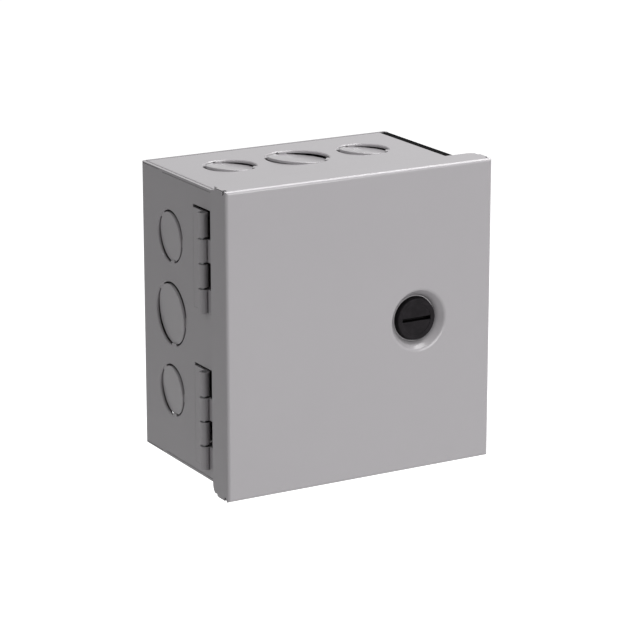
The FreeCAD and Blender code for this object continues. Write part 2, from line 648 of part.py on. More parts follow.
def make_cam_screw():
    seat = DIMPLE_FLOOR - LATCH_SQUARE
    head_end = seat - CAM_SCREW_HEAD
    head = rod_d(LATCH_X, head_end, seat, LATCH_Z, CAM_SCREW_HEAD_R)
    shank = rod_d(LATCH_X, seat, seat + CAM_SCREW_LEN, LATCH_Z, CAM_SCREW_R)
    reach = CAM_SCREW_HEAD_R + PAST
    slot = box(LATCH_X - reach, LATCH_X + reach, head_end - PAST, head_end + PAST,
               LATCH_Z - SLOT_HALF, LATCH_Z + SLOT_HALF)
    return fuse([head, shank]).cut(slot)


# ---------------------------------------------------------------- interior structure
def pan_screw_spots():
    spots = []
    for x in (PAN_X[0] + 12, PAN_FOOT_END - 8):
        spots.append((x, PAN_Z[1] + (PAN_FOOT + PAST) / 2))
        spots.append((x, PAN_Z[0] - (PAN_FOOT + PAST) / 2))
    return spots


def make_pan():
    """Hat-section plate: raised centre with a foot along its top and bottom edges."""
    lo, hi = PAN_Z
    outline = [(SHEET, lo - PAN_FOOT), (SHEET + PAN_T, lo - PAN_FOOT), (SHEET + PAN_T, lo),
               (PAN_FRONT, lo), (PAN_FRONT, hi), (SHEET + PAN_T, hi),
               (SHEET + PAN_T, hi + PAN_FOOT), (SHEET, hi + PAN_FOOT),
               (SHEET, hi - PAN_T), (PAN_D, hi - PAN_T), (PAN_D, lo + PAN_T), (SHEET, lo + PAN_T)]
    pan = prism_x(outline, *PAN_X)
    tools = [rod_d(x, 0, PAN_D, z, SCREW_CLEAR_R) for x, z in pan_screw_spots()]
    tools.append(rod_d(BOND_X, PAN_D - PAST, PAN_FRONT + PAST, BOND_Z, SCREW_TAP_R))
    x1 = PAN_X[1] + PAST
    tools.append(box(PAN_FOOT_END, x1, 0, PAN_D, hi - 4 * PAN_T, hi + PAN_FOOT + PAST))
    tools.append(box(PAN_FOOT_END, x1, 0, PAN_D, lo - PAN_FOOT - PAST, lo + 4 * PAN_T))
    return cut(pan, tools)


def make_pan_screws():
    return [screw(x, SHEET + PAN_T, z, SCREW_SHANK_R, SHEET + PAN_T - 0.1, SCREW_HEAD_R, 2.0)
            for x, z in pan_screw_spots()]


def make_base():
    """Moulded insulating base under the bus bars and breakers."""
    x0, x1 = BASE_X
    z0, z1 = BASE_Z
    slab = box(x0, x1, PAN_FRONT, BASE_FRONT, z0, z1)
    slab = fillet(slab, BASE_CORNER_R, lambda e: runs_along(e, "y"))
    hollow = box(x0 + BASE_WALL, x1 - BASE_WALL, PAN_FRONT - PAST, PAN_FRONT + BASE_HOLLOW,
                 z0 + BASE_WALL, z1 - BASE_WALL)
    middle = sum(BREAKER_X.values()) / 2
    barrier = box(middle - 1, middle + 1, BASE_FRONT, BASE_FRONT + BARRIER_D, BARRIER_Z, z1 - 1)
    return fuse([slab.cut(hollow), barrier])


def make_breaker_rail():
    """Steel rail that the load end of each breaker hooks on."""
    x0 = BASE_X[0] + 1
    x1 = BASE_X[1] - 1
    foot = box(x0, x1, BASE_FRONT, BASE_FRONT + RAIL_T, *RAIL_Z)
    web = box(x0, x1, BASE_FRONT, BREAKER_REAR, RAIL_WEB_Z - RAIL_T, RAIL_WEB_Z)
    return fuse([foot, web])


def make_line_bus(x):
    """Bus bar from the main lug down to the plug-on stab behind the breaker."""
    bar = box(x - BUS_W / 2, x + BUS_W / 2, BASE_FRONT, BUS_FRONT, STAB_Z - 8, BASE_Z[1] - 2)
    tip = BUS_FRONT + STAB_REACH
    stab = box(x - STAB_T / 2, x + STAB_T / 2, BUS_FRONT - PAST, tip,
               STAB_Z - STAB_HALF, STAB_Z + STAB_HALF)
    stab = fillet(stab, STAB_T / 3, lambda e: runs_along(e, "z") and e.CenterOfMass.y < NEAR - tip)
    return fuse([bar, stab])


def make_main_lug(x):
    """Box lug with a wire bore from above and a set screw from the front."""
    lug = box(x - LUG_HALF, x + LUG_HALF, BUS_FRONT, BUS_FRONT + LUG_DEPTH, LUG_FOOT_Z, LUG_TOP)
    lug = fillet(lug, LUG_CORNER_R, lambda e: runs_along(e, "z"))
    bore_d = BUS_FRONT + LUG_BORE_D
    wire = rod_z(x, bore_d, LUG_FOOT_Z - PAST, LUG_TOP + PAST, LUG_BORE_R)
    thread = rod_d(x, bore_d, BUS_FRONT + LUG_DEPTH + PAST, LUG_SCREW_Z,
                   LUG_SCREW_R + PIN_CLEARANCE)
    return cut(lug, [wire, thread])


def make_set_screw(x, d0, d1, z, radius):
    """Headless slotted screw."""
    body = rod_d(x, d0, d1, z, radius)
    slot = box(x - radius - PAST, x + radius + PAST, d1 - 3 * SLOT_HALF, d1 + PAST,
               z - SLOT_HALF, z + SLOT_HALF)
    return body.cut(slot)


def make_lug_screws():
    rear = BUS_FRONT + LUG_BORE_D + 5
    front = BUS_FRONT + LUG_DEPTH + 2.5
    return [make_set_screw(x, rear, front, LUG_SCREW_Z, LUG_SCREW_R) for x in BREAKER_X.values()]


# ---------------------------------------------------------------- neutral and ground
def bar_terminals(low, high):
    """Places of the wire holes, centred between the two ends of a bar."""
    count = int((high - low - TERMINAL_MARGIN) // TERMINAL_PITCH) + 1
    start = (low + high) / 2 - (count - 1) * TERMINAL_PITCH / 2
    return [start + TERMINAL_PITCH * k for k in range(count)]


def make_neutral_bar():
    d0, d1 = NEUTRAL_D
    half = BAR_W / 2
    bar = box(NEUTRAL_X - half, NEUTRAL_X + half, d0, d1, *NEUTRAL_Z)
    bore_d = d0 + TERMINAL_BORE_D
    tools = []
    for z in bar_terminals(*NEUTRAL_Z):
        tools.append(rod_x(NEUTRAL_X - half - PAST, NEUTRAL_X + half + PAST, bore_d, z,
                           NEUTRAL_BORE_R))
        tools.append(rod_d(NEUTRAL_X, bore_d, d1 + PAST, z, BAR_SCREW_R + PIN_CLEARANCE))
    return cut(bar, tools)


def make_neutral_screws():
    seat = NEUTRAL_D[1] + BAR_SCREW_STAND
    return [screw(NEUTRAL_X, seat, z, BAR_SCREW_R, 3.8, 3.4, 1.8)
            for z in bar_terminals(*NEUTRAL_Z)]


def make_neutral_insulator():
    """Moulded bridge that holds the neutral bar clear of the pan."""
    d0 = NEUTRAL_D[0]
    half = BAR_W / 2 + 1
    foot = 4.0
    parts = [box(NEUTRAL_X - half, NEUTRAL_X + half, d0 - INSULATOR_T, d0, *NEUTRAL_Z)]
    for z in (NEUTRAL_Z[0] + foot + 1, NEUTRAL_Z[1] - foot - 1):
        parts.append(box(NEUTRAL_X - half, NEUTRAL_X + half, PAN_FRONT, d0, z - foot, z + foot))
    return fuse(parts)


def ground_screw_spots():
    return (GROUND_X[0] + GROUND_FOOT_INSET, GROUND_X[1] - GROUND_FOOT_INSET)


def ground_terminals():
    return bar_terminals(GROUND_X[0] + GROUND_FOOT_INSET + 1, GROUND_X[1] - GROUND_FOOT_INSET - 1)


def make_ground_bar():
    d0, d1 = GROUND_D
    half = BAR_W / 2
    foot = half - 1
    bar = box(*GROUND_X, d0, d1, GROUND_Z - half, GROUND_Z + half)
    feet = [box(x - foot, x + foot, SHEET, d0 + PAST, GROUND_Z - foot, GROUND_Z + foot)
            for x in ground_screw_spots()]
    bore_d = d0 + TERMINAL_BORE_D
    tools = []
    for x in ground_terminals():
        tools.append(rod_z(x, bore_d, GROUND_Z - half - PAST, GROUND_Z + half + PAST,
                           GROUND_BORE_R))
        tools.append(rod_d(x, bore_d, d1 + PAST, GROUND_Z, BAR_SCREW_R + PIN_CLEARANCE))
    for x in ground_screw_spots():
        tools.append(rod_d(x, 0, d1 + PAST, GROUND_Z, SCREW_CLEAR_R))
    return cut(fuse([bar] + feet), tools)


def make_ground_screws():
    d1 = GROUND_D[1]
    shorts = [screw(x, d1 + BAR_SCREW_STAND, GROUND_Z, BAR_SCREW_R, 3.0, 3.2, 1.8)
              for x in ground_terminals()]
    longs = [screw(x, d1, GROUND_Z, SCREW_SHANK_R, d1 - 0.2, 3.4, 2.0)
             for x in ground_screw_spots()]
    return shorts + longs


def make_bonding_strap():
    """Tin-plated strap from the neutral bar's lower end to the grounded pan."""
    x0 = NEUTRAL_X - STRAP_W / 2
    x1 = NEUTRAL_X + STRAP_W / 2
    bar_rear, bar_front = NEUTRAL_D
    bar_end = NEUTRAL_Z[0]
    shelf_rear = bar_rear - INSULATOR_T - STRAP_T
    shelf_front = shelf_rear + STRAP_T
    tab = box(x0, x1, shelf_rear, bar_front - 1, bar_end - STRAP_T, bar_end)
    shelf = box(x0, x1, shelf_rear, shelf_front, STRAP_END, bar_end)
    drop = box(x0, x1, PAN_FRONT, shelf_front, STRAP_END, STRAP_END + STRAP_T)
    foot = box(x0, x1, PAN_FRONT, PAN_FRONT + STRAP_T, STRAP_END, STRAP_END + STRAP_FOOT)
    strap = fuse([tab, shelf, drop, foot])
    return strap.cut(rod_d(BOND_X, PAN_D, PAN_FRONT + STRAP_FOOT, BOND_Z, SCREW_CLEAR_R))


def make_bonding_screw():
    return screw(BOND_X, PAN_FRONT + STRAP_T, BOND_Z, SCREW_SHANK_R, 4.0, BOND_HEAD_R, 2.2)


# ---------------------------------------------------------------- breakers
def breaker_outline(inset):
    """(d, z) side outline of the breaker case, or of its cavity when inset by the wall."""
    rear = BREAKER_REAR + inset
    half = CASE_HALF_H - inset
    nose = BREAKER_NOSE_HALF - inset
    shoulder = BREAKER_SHOULDER - inset
    front = BREAKER_NOSE - inset
    step = BREAKER_NOSE_HALF + 2
    return [(rear, -half), (shoulder - CASE_BEVEL, -half), (shoulder, -half + CASE_BEVEL),
            (shoulder, -step + inset), (front, -nose), (front, nose),
            (shoulder, step - inset), (shoulder, half), (rear, half)]


def breaker_openings(x):
    """Stab slot, handle slot, terminal window and screw access of one breaker."""
    stab = box(x - JAW_SLOT / 2, x + JAW_SLOT / 2, BREAKER_REAR - PAST,
               BREAKER_REAR + 2 * CASE_WALL, STAB_Z - STAB_HALF - 2, STAB_Z + STAB_HALF + 2)
    slot_half = HANDLE_W / 2 + HANDLE_PLAY
    handle = box(x - slot_half, x + slot_half, BREAKER_NOSE - 2 * CASE_WALL, BREAKER_NOSE + PAST,
                 -HANDLE_SLOT_Z, HANDLE_SLOT_Z)
    side = CASE_HALF - CASE_WALL
    terminal = box(x - side, x + side, *TERMINAL_D, -CASE_HALF_H - PAST, LOAD_END)
    access = rod_d(x, BREAKER_SHOULDER - 12, BREAKER_SHOULDER + PAST, TERMINAL_SCREW_Z,
                   TERMINAL_ACCESS_R)
    pins = [rod_x(x - BREAKER_W, x + BREAKER_W, d, z, RIVET_R + PIN_CLEARANCE)
            for d, z in RIVET_SPOTS + ((HANDLE_PIVOT_D, 0.0),)]
    return [stab, handle, terminal, access] + pins


def make_case_half(x, side):
    """One moulded half of a breaker case; side is -1 for the left half, +1 for the right."""
    x_out = x + side * CASE_HALF
    x0, x1 = sorted((x, x_out))
    block = prism_x(breaker_outline(0), x0, x1)
    shell = fillet(block, CASE_CORNER_R, lambda e: abs(e.CenterOfMass.x - x_out) < NEAR)
    c0, c1 = sorted((x - side, x_out - side * CASE_WALL))
    shell = shell.cut(prism_x(breaker_outline(CASE_WALL), c0, c1))
    bosses = [rod_x(x0, x1, d, z, BOSS_R).common(block) for d, z in RIVET_SPOTS]
    return cut(fuse([shell] + bosses), breaker_openings(x))


def make_handle(x):
    """Toggle with its hub; it leans up to ON at rest."""
    x0 = x - HANDLE_W / 2
    x1 = x + HANDLE_W / 2
    tip = HANDLE_PIVOT_D + HANDLE_TIP_R
    hub = rod_x(x0, x1, HANDLE_PIVOT_D, 0, HANDLE_HUB_R)
    lever = box(x0, x1, HANDLE_PIVOT_D, tip, -HANDLE_HALF_T, HANDLE_HALF_T)
    lever = fillet(lever, 1.2, lambda e: e.CenterOfMass.y < NEAR - tip)
    web = rod_x(x0, x1, HANDLE_PIVOT_D, 0, HANDLE_WEB_R)
    web = web.common(box(x0, x1, HANDLE_PIVOT_D, tip, -HANDLE_WEB_R, HANDLE_WEB_R))
    bore = rod_x(x0 - PAST, x1 + PAST, HANDLE_PIVOT_D, 0, HANDLE_PIN_R + PIN_CLEARANCE)
    handle = fuse([hub, web, lever]).cut(bore)
    handle.rotate(V(x, -HANDLE_PIVOT_D, 0), V(1, 0, 0), -HANDLE_REST)
    return handle


def make_line_jaw(x):
    """Spring clip that grips the stab and carries the fixed contact."""
    d0 = BUS_FRONT + JAW_REAR
    bridge_rear = d0 + JAW_LEG
    z0 = STAB_Z - JAW_HALF
    z1 = STAB_Z + JAW_HALF
    inner = STAB_T / 2
    outer = inner + JAW_T
    parts = [box(x - outer, x + outer, bridge_rear, JAW_FRONT, JAW_ARM_END, z1),
             box(x - outer, x - inner, d0, bridge_rear + PAST, z0, z1),
             box(x + inner, x + outer, d0, bridge_rear + PAST, z0, z1),
             rod_d(x, JAW_FRONT, CONTACT_D, CONTACT_Z, CONTACT_R)]
    return fuse(parts)


def make_contact_arm(x):
    """Moving contact arm, closed against the fixed contact at rest."""
    x0 = x - ARM_HALF_W
    x1 = x + ARM_HALF_W
    rear = CONTACT_D + 1.0
    outline = [(ARM_PIVOT_D - ARM_HUB_R, ARM_PIVOT_Z), (ARM_PIVOT_D + ARM_HUB_R, ARM_PIVOT_Z),
               (rear + 2.4, ARM_TIP_Z), (rear, ARM_TIP_Z), (rear, CONTACT_Z - 3)]
    arm = prism_x(outline, x0, x1)
    hub = rod_x(x0, x1, ARM_PIVOT_D, ARM_PIVOT_Z, ARM_HUB_R)
    contact = rod_d(x, CONTACT_D + NEAR, CONTACT_D + CONTACT_T, CONTACT_Z, CONTACT_R)
    return fuse([arm, hub, contact])


def make_load_terminal(x):
    """Box clamp at the load end."""
    d0, d1 = LOAD_D
    wall = 1.2
    z0 = LOAD_END + CLAMP_GAP
    lug = box(x - CLAMP_HALF, x + CLAMP_HALF, d0, d1, z0, z0 + CLAMP_LENGTH)
    wire = box(x - CLAMP_HALF + wall, x + CLAMP_HALF - wall, d0 + 2, d1 - 4,
               z0 - PAST, z0 + CLAMP_LENGTH + PAST)
    thread = rod_d(x, d1 - 5, d1 + PAST, TERMINAL_SCREW_Z, TERMINAL_SCREW_R + PIN_CLEARANCE)
    return cut(lug, [wire, thread])


def make_bimetal(x):
    """Thermal element from the load terminal to the trip latch."""
    half = 4.0
    z0 = LOAD_END + CLAMP_GAP
    d0 = LOAD_D[0] - BIMETAL_FOOT
    foot = box(x - half, x + half, d0, LOAD_D[0], z0, z0 + CLAMP_LENGTH - 1)
    strip = box(x - half, x + half, d0, d0 + BIMETAL_T, z0, BIMETAL_TIP_Z)
    return fuse([foot, strip])


def make_breaker_rivets():
    """Rivets that hold the case halves, and the pins that the handles turn on."""
    rivets = []
    half = CASE_HALF - PIN_CLEARANCE
    for x in BREAKER_X.values():
        rivets += [rod_x(x - half, x + half, d, z, RIVET_R) for d, z in RIVET_SPOTS]
        rivets.append(rod_x(x - half, x + half, HANDLE_PIVOT_D, 0, HANDLE_PIN_R))
    return rivets


def make_terminal_screws():
    rear = LOAD_D[1] - 3.5
    front = LOAD_D[1] + 3.5
    return [make_set_screw(x, rear, front, TERMINAL_SCREW_Z, TERMINAL_SCREW_R)
            for x in BREAKER_X.values()]


# ---------------------------------------------------------------- dead-front
def make_deadfront():
    """Inner cover with a turned edge and one window for the two breaker noses."""
    x0, x1 = DEADFRONT_X
    z0, z1 = DEADFRONT_Z
    d1 = DEADFRONT_D
    front = d1 + DEADFRONT_T
    edge = d1 - DEADFRONT_EDGE
    outer = box(x0, x1, edge, front, z0, z1)
    outer = fillet(outer, DEADFRONT_BEND, lambda e: e.CenterOfMass.y < NEAR - front)
    inner = box(x0 + DEADFRONT_T, x1 - DEADFRONT_T, edge - PAST, d1,
                z0 + DEADFRONT_T, z1 - DEADFRONT_T)
    side = CASE_HALF + DEADFRONT_WINDOW_GAP
    end = BREAKER_NOSE_HALF + DEADFRONT_WINDOW_GAP + 0.4
    window = box(BREAKER_X["left"] - side, BREAKER_X["right"] + side, d1 - PAST, front + PAST,
                 -end, end)
    holes = [rod_d(x, d1 - PAST, front + PAST, z, SCREW_CLEAR_R) for x, z in POSTS]
    return cut(outer, [inner, window] + holes)


def make_posts():
    """Four threaded posts that carry the dead-front."""
    posts = []
    for x, z in POSTS:
        tap = rod_d(x, DEADFRONT_D - POST_TAP, DEADFRONT_D + PAST, z, SCREW_TAP_R)
        posts.append(rod_d(x, PAN_FRONT, DEADFRONT_D, z, POST_R).cut(tap))
    return posts


def make_deadfront_screws():
    seat = DEADFRONT_D + DEADFRONT_T
    return [screw(x, seat, z, SCREW_SHANK_R, 9.0, SCREW_HEAD_R, 2.2) for x, z in POSTS]


# ---------------------------------------------------------------- assembly
def build():
    place("enclosure_wrapper", make_wrapper())
    place("top_plate", make_end_plate(1))
    place("bottom_plate", make_end_plate(-1))
    bead = make_sealant()
    place("seam_sealant", Part.makeCompound([bead, mirrored_z(bead)]))

    place("door_pan", make_door())
    place("directory_card", make_directory_card())
    for level, top_z in HINGE_TOPS.items():
        place("body_hinge_leaf_" + level, make_body_leaf(top_z))
        place("door_hinge_leaf_" + level, make_door_leaf(top_z))
        place("hinge_pin_" + level, make_hinge_pin(top_z))

    place("latch_housing", make_latch_housing())
    place("latch_nut", make_latch_nut())
    place("latch_core", make_latch_core())
    place("latch_cam", make_latch_cam())
    place("latch_cam_screw", make_cam_screw())

    place("interior_pan", make_pan())
    place("pan_screws", Part.makeCompound(make_pan_screws()))
    place("insulating_base", make_base())
    place("breaker_rail", make_breaker_rail())
    for side, x in BREAKER_X.items():
        place("line_bus_" + side, make_line_bus(x))
        place("main_lug_" + side, make_main_lug(x))
    place("main_lug_screws", Part.makeCompound(make_lug_screws()))

    place("neutral_bar", make_neutral_bar())
    place("neutral_bar_screws", Part.makeCompound(make_neutral_screws()))
    place("neutral_insulator", make_neutral_insulator())
    place("ground_bar", make_ground_bar())
    place("ground_bar_screws", Part.makeCompound(make_ground_screws()))
    place("bonding_strap", make_bonding_strap())
    place("bonding_screw", make_bonding_screw())

    for side, x in BREAKER_X.items():
        prefix = "breaker_" + side + "_"
        place(prefix + "case_left", make_case_half(x, -1))
        place(prefix + "case_right", make_case_half(x, 1))
        place(prefix + "handle", make_handle(x))
        place(prefix + "line_jaw", make_line_jaw(x))
        place(prefix + "contact_arm", make_contact_arm(x))
        place(prefix + "load_terminal", make_load_terminal(x))
        place(prefix + "bimetal", make_bimetal(x))
    place("breaker_rivets", Part.makeCompound(make_breaker_rivets()))
    place("breaker_terminal_screws", Part.makeCompound(make_terminal_screws()))

    place("deadfront_cover", make_deadfront())
    place("deadfront_posts", Part.makeCompound(make_posts()))
    place("deadfront_screws", Part.makeCompound(make_deadfront_screws()))


build()
os.makedirs("parts", exist_ok=True)
for name, shape in nodes.items():
    shape.exportStep("parts/" + name + ".step")
    print(name, "solids", len(shape.Solids), "valid", shape.isValid(), "volume", round(shape.Volume, 1))
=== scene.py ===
"""Looks of the small hinged-door load center, on the frame that the CAD model sets."""
import json
import math

import bpy
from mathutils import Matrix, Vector


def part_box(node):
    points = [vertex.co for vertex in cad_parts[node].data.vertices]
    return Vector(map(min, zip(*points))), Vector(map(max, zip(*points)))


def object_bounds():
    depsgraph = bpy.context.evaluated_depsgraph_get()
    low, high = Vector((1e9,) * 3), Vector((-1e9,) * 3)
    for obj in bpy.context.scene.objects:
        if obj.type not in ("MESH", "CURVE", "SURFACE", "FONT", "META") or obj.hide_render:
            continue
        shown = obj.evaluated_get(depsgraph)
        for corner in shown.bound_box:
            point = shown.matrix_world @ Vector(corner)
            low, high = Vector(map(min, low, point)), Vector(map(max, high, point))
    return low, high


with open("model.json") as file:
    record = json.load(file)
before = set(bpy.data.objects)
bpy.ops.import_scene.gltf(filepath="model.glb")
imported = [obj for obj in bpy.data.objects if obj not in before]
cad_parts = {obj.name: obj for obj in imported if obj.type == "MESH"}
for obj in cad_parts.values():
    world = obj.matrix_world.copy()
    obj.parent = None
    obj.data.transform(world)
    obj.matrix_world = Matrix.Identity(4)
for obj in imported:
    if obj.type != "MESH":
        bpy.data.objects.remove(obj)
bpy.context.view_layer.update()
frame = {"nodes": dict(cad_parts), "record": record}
nodes = frame["nodes"]

# ---------------------------------------------------------------- camera, from the front opening's centre
VIEW_AZIMUTH = -29.75            # degrees, negative on the hinge side
VIEW_ELEVATION = 15.78
VIEW_DISTANCE = 1.5143
VIEW_RIGHT = -0.0208             # how far the camera is slid sideways and up
VIEW_UP = 0.0042
LENS = 161.9                     # millimetres, as the sensor is
SENSOR_WIDTH = 36.0

# ---------------------------------------------------------------- floor, sky and lamps
FLOOR_DROP = 0.30                # below the object's lowest point
FLOOR_SIZE = 12.0
FLOOR_DARK = 0.60
FLOOR_LIGHT = 0.62
FLOOR_GLOW = 0.85                # emission that only the camera sees
SKY_SEEN = 1.0                   # sky strength for camera rays
SKY_REFLECTED = 0.50             # for glossy rays
SKY_LIGHT = 0.30                 # for all other rays
LAMP_AIM = (0.0, -0.05, 0.0)
SOFTBOXES = (
    {"name": "overhead_box", "place": (0.60, -0.05, 1.15), "width": 1.2, "height": 1.0, "power": 18.0},
    {"name": "front_box", "place": (0.30, -1.55, 0.40), "width": 1.0, "height": 1.0, "power": 12.6},
    {"name": "left_strip", "place": (-0.85, 0.0, 0.85), "width": 0.35, "height": 0.20, "power": 0.9},
)

# ---------------------------------------------------------------- shading
BEVEL_SAMPLES = 4
# samples and limits of the painted shade darkening gaps and recesses
PAINTED_SHADE_SAMPLES = 6
PAINTED_SHADE_CLOSED = 0.20            # share of open sky at which the painted shade in a gap is darkest
PAINTED_SHADE_OPEN = 0.55              # and at which a face isn't darkened
MIX_FACTOR = 0                   # sockets of the Mix node
FLOAT_A = 2
FLOAT_B = 3
FLOAT_OUT = 0
COLOUR_A = 6
COLOUR_B = 7
COLOUR_OUT = 2


# ---------------------------------------------------------------- shader helpers
class Shader:
    """One material, with short calls that add and link its shader nodes."""

    def __init__(self, name):
        self.material = bpy.data.materials.new(name)
        self.material.use_nodes = True
        self.tree = self.material.node_tree
        self.principled = self.tree.nodes["Principled BSDF"]
        self.coords = self.add("ShaderNodeTexCoord").outputs["Object"]

    def add(self, kind, inputs=None, **settings):
        node = self.tree.nodes.new(kind)
        for key, value in settings.items():
            setattr(node, key, value)
        for key, value in (inputs or {}).items():
            self.feed(node.inputs[key], value)
        return node

    def feed(self, socket, value):
        """Link a socket, or set a plain value."""
        if isinstance(value, bpy.types.NodeSocket):
            self.tree.links.new(value, socket)
        else:
            socket.default_value = value

    def noise(self, scale, detail=4.0, roughness=0.55, coords=None):
        node = self.add("ShaderNodeTexNoise", {"Vector": coords or self.coords, "Scale": scale,
                                               "Detail": detail, "Roughness": roughness})
        return node.outputs["Fac"]

    def stretched(self, x, y, z):
        """Object coordinates scaled per axis, for drawn or brushed grain."""
        node = self.add("ShaderNodeMapping", {"Vector": self.coords, "Scale": (x, y, z)})
        return node.outputs["Vector"]

    def step(self, fac, start, end, low=0.0, high=1.0):
        """Grey ramp from low at start to high at end, level beyond them."""
        node = self.add("ShaderNodeValToRGB", {"Fac": fac})
        first, last = node.color_ramp.elements
        first.position = start
        first.color = (low, low, low, 1.0)
        last.position = end
        last.color = (high, high, high, 1.0)
        return node.outputs["Color"]

    def spread(self, fac, low, high):
        """Map a noise or a ramp from 0 to 1 onto low to high."""
        node = self.add("ShaderNodeMapRange", {"Value": fac, "From Min": 0.0, "From Max": 1.0,
                                               "To Min": low, "To Max": high})
        return node.outputs["Result"]

    def mix(self, fac, first, second):
        node = self.add("ShaderNodeMix", data_type="RGBA")
        self.feed(node.inputs[MIX_FACTOR], fac)
        self.feed(node.inputs[COLOUR_A], first)
        self.feed(node.inputs[COLOUR_B], second)
        return node.outputs[COLOUR_OUT]

    def times(self, value, factor):
        node = self.add("ShaderNodeMath", {0: value, 1: factor}, operation="MULTIPLY")
        return node.outputs["Value"]

    def edge_mask(self, radius, sharp, flat):
        """1 where a rounded normal leaves the true one by cosine sharp, 0 from cosine flat on."""
        bevel = self.add("ShaderNodeBevel", {"Radius": radius}, samples=BEVEL_SAMPLES)
        geometry = self.add("ShaderNodeNewGeometry")
        normals = {0: bevel.outputs["Normal"], 1: geometry.outputs["Normal"]}
        cosine = self.add("ShaderNodeVectorMath", normals, operation="DOT_PRODUCT")
        node = self.add("ShaderNodeMapRange", {"Value": cosine.outputs["Value"], "From Min": flat,
                                               "From Max": sharp, "To Min": 0.0, "To Max": 1.0})
        return node.outputs["Result"]

    def worn(self, base, pale, amount, radius, sharp, flat):
        """Base colour, mixed towards a paler one on the edges."""
        return self.mix(self.times(self.edge_mask(radius, sharp, flat), amount), base, pale)

    def painted_crevice_shade(self, colour, reach, depth):
        """Painted shade: colour darkened down to depth in gaps narrower than reach, where shade falls."""
        around = self.add("ShaderNodeAmbientOcclusion", {"Distance": reach}, samples=PAINTED_SHADE_SAMPLES)
        node = self.add("ShaderNodeMapRange", {"Value": around.outputs["AO"], "From Min": PAINTED_SHADE_CLOSED,
                                               "From Max": PAINTED_SHADE_OPEN, "To Min": depth, "To Max": 1.0})
        return self.mix(node.outputs["Result"], (0.0, 0.0, 0.0, 1.0), colour)

    def bump(self, height, strength, distance, normal=None):
        node = self.add("ShaderNodeBump", {"Height": height, "Strength": strength,
                                           "Distance": distance})
        if normal is not None:
            self.feed(node.inputs["Normal"], normal)
        return node.outputs["Normal"]

    def surface(self, colour, roughness, normal, metallic=0.0, specular=0.5, coat=0.0,
                coat_roughness=0.1):
        self.feed(self.principled.inputs["Base Color"], colour)
        self.feed(self.principled.inputs["Roughness"], roughness)
        self.feed(self.principled.inputs["Normal"], normal)
        self.principled.inputs["Metallic"].default_value = metallic
        self.principled.inputs["Specular IOR Level"].default_value = specular
        self.principled.inputs["Coat Weight"].default_value = coat
        self.principled.inputs["Coat Roughness"].default_value = coat_roughness
        return self.material


def solid(colour):
    """Colour with full alpha."""
    return (*colour, 1.0)


def shade(colour, factor):
    return tuple(min(1.0, c * factor) for c in colour) + (1.0,)


# ---------------------------------------------------------------- materials
def powder_coat(tint):
    """Semi-gloss powder coat: faint mottling, orange peel, slightly rubbed edges and painted shade in
    crevices.
    """
    s = Shader("powder_coat")
    base = s.mix(s.noise(scale=14.0, detail=3.0), shade(tint, 0.985), shade(tint, 1.015))
    fleck = s.step(s.noise(scale=2600.0, detail=2.0), start=0.42, end=0.62)
    base = s.mix(s.spread(fleck, 0.0, 0.10), base, shade(tint, 1.10))
    colour = s.worn(base, shade(tint, 1.35), amount=0.10, radius=0.0006, sharp=0.90, flat=0.995)
    # painted shade: the paint darkens in seams, slots and knockout cuts, where shade falls
    colour = s.painted_crevice_shade(colour, reach=0.0045, depth=0.14)
    roughness = s.spread(s.noise(scale=60.0, detail=2.0), 0.26, 0.34)
    peel = s.bump(s.noise(scale=1100.0, detail=2.0, roughness=0.4), strength=0.07, distance=0.00010)
    grit = s.bump(s.noise(scale=4200.0, detail=1.0), strength=0.06, distance=0.00003, normal=peel)
    return s.surface(colour, roughness, grit, specular=0.4, coat=0.6, coat_roughness=0.10)


def black_nylon():
    """Moulded black latch parts: satin, fine spark-eroded grain, paler scuffed edges and painted shade in
    the slot and gaps.
    """
    s = Shader("black_nylon")
    patch = s.step(s.noise(scale=300.0), start=0.4, end=0.65)
    base = s.mix(patch, solid((0.011, 0.0095, 0.011)), solid((0.018, 0.0155, 0.018)))
    scuff = solid((0.05, 0.05, 0.053))
    colour = s.worn(base, scuff, amount=0.25, radius=0.0004, sharp=0.80, flat=0.99)
    # painted shade: darkens the key slot and the gaps round the head
    colour = s.painted_crevice_shade(colour, reach=0.0060, depth=0.02)
    roughness = s.spread(s.noise(scale=240.0), 0.45, 0.60)
    grain = s.bump(s.noise(scale=3800.0, detail=2.0), strength=0.12, distance=0.00003)
    return s.surface(colour, roughness, grain, specular=0.12)


def zinc_plate(name, tint, smooth, rough):
    """Zinc on small turned parts: fine turning marks, dulled edges, painted shade in gaps, roughness
    smooth to rough.
    """
    s = Shader(name)
    cloud = s.step(s.noise(scale=180.0, detail=6.0), start=0.35, end=0.7)
    base = s.mix(cloud, shade(tint, 0.86), shade(tint, 1.08))
    colour = s.worn(base, shade(tint, 1.3), amount=0.4, radius=0.0003, sharp=0.85, flat=0.99)
    # painted shade: darkens gaps and recesses
    colour = s.painted_crevice_shade(colour, reach=0.0030, depth=0.06)
    roughness = s.spread(s.noise(scale=420.0), smooth, rough)
    turning = s.noise(scale=5200.0, detail=2.0, coords=s.stretched(1.0, 1.0, 0.25))
    return s.surface(colour, roughness, s.bump(turning, strength=0.10, distance=0.00002), metallic=1.0)


def galvanised():
    """Galvanised sheet with spangle."""
    s = Shader("galvanised")
    cells = s.add("ShaderNodeTexVoronoi", {"Vector": s.coords, "Scale": 220.0}).outputs["Distance"]
    spangle = s.step(cells, start=0.1, end=0.8)
    base = s.mix(spangle, solid((0.42, 0.43, 0.44)), solid((0.62, 0.63, 0.64)))
    dulled = s.step(s.noise(scale=45.0), start=0.4, end=0.7)
    colour = s.mix(dulled, base, solid((0.50, 0.51, 0.52)))
    roughness = s.spread(cells, 0.34, 0.55)
    return s.surface(colour, roughness, s.bump(spangle, strength=0.08, distance=0.00003), metallic=1.0)


